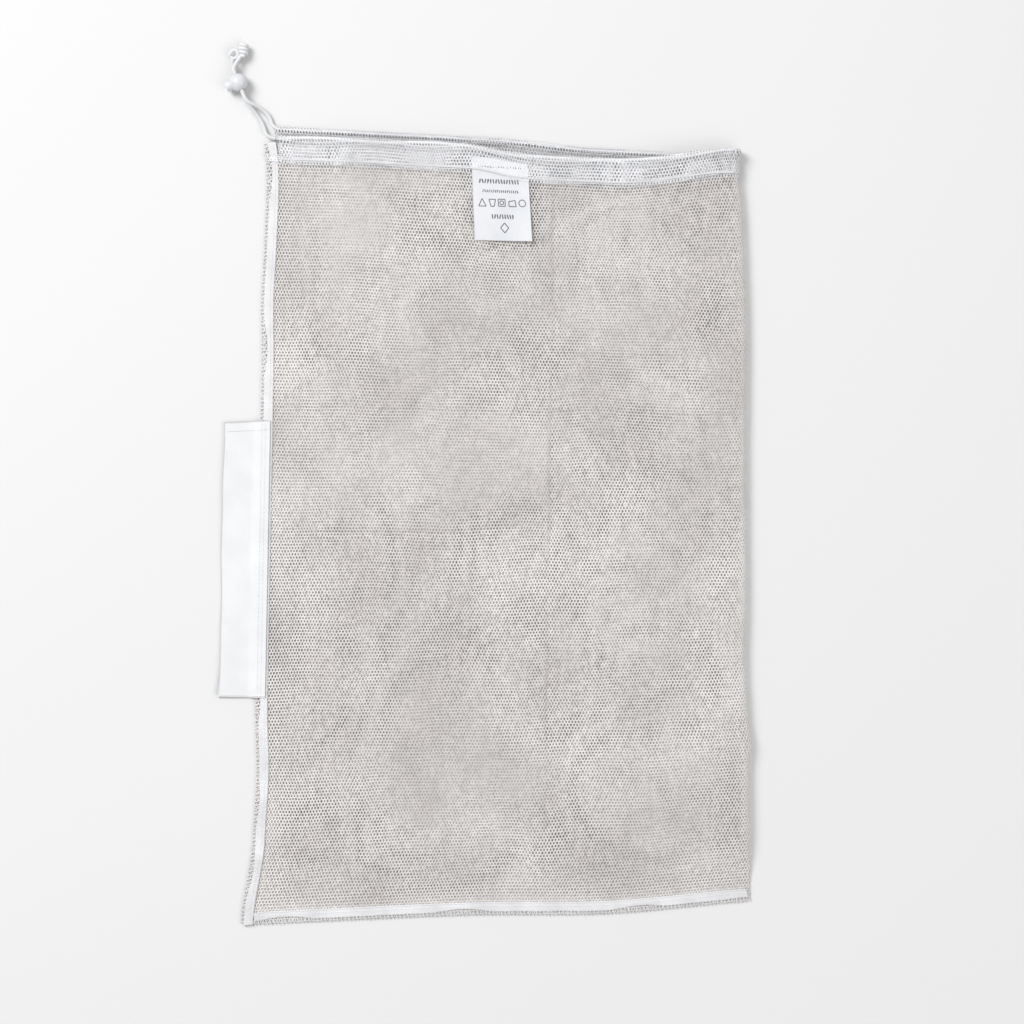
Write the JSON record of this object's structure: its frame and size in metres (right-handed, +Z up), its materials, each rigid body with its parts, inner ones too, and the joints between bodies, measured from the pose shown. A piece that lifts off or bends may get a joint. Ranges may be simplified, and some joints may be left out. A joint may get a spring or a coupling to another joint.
{
  "type": "mesh produce bag",
  "caption": "Flat-lying knitted net bag with overlocked seams, a hemmed drawstring mouth, ball cord lock, care label and side tag.",
  "frame": {"origin": "on the surface the bag lies on, under the middle of the bag with its tag and without the free string", "axes": "+Z up out of the surface, +Y along the bag towards its mouth, +X towards the folded edge"},
  "size_m": [0.3326, 0.5502, 0.0126],
  "materials": {
    "net": "matte",
    "seam_thread": "matte",
    "cord": "matte",
    "lock_plastic": "satin",
    "spring_steel": "satin",
    "label_satin": "satin",
    "tag_tape": "matte"
  },
  "bodies": {
    "bag": {"front_net": "net", "back_net": "net", "fold_edge_upper": "net", "fold_edge_lower": "net", "side_seam_allowance": "net", "side_seam_overlock": "seam_thread", "foot_seam_allowance": "net", "foot_seam_overlock": "seam_thread", "front_hem": "net", "back_hem": "net", "hem_fold": "net", "channel_turn": "net", "front_hem_stitch": "seam_thread", "back_hem_stitch": "seam_thread", "drawstring": "cord", "front_tail": "cord", "back_tail": "cord", "front_tail_knot": "cord", "back_tail_knot": "cord", "care_label_sewn_end": "label_satin", "side_tag_sewn_edge": "tag_tape", "side_tag_seam_stitch": "seam_thread"},
    "cord_lock": {"cord_lock_body": "lock_plastic", "cord_lock_spring": "spring_steel"},
    "cord_lock_button": {"cord_lock_plunger": "lock_plastic"},
    "care_label": {"care_label_flap": "label_satin"},
    "side_tag": {"side_tag_flap": "tag_tape", "side_tag_hem_stitch": "seam_thread"}
  },
  "joints": [
    {"name": "cord_lock_slide", "type": "slide", "parent": "bag", "child": "cord_lock", "axis": [-0.3746, 0.9272, 0], "range_m": [-0.004, 0.002]},
    {"name": "button_press", "type": "slide", "parent": "cord_lock", "child": "cord_lock_button", "axis": [0.9272, 0.3746, 0], "range_m": [0, 0.0018], "stiffness_N_per_m": 800, "springref_m": -0.001, "deforming": ["cord_lock_spring"]},
    {"name": "care_label_swing", "type": "hinge", "parent": "bag", "child": "care_label", "pos_m": [0.01069, 0.21651, 0.0096], "axis": [-0.9987, 0.0519, 0], "range_deg": [0, 150]},
    {"name": "side_tag_swing", "type": "hinge", "parent": "bag", "child": "side_tag", "pos_m": [-0.14203, 0.06432, 0.00295], "axis": [0.0201, 0.9998, 0], "range_deg": [0, 160]}
  ]
}
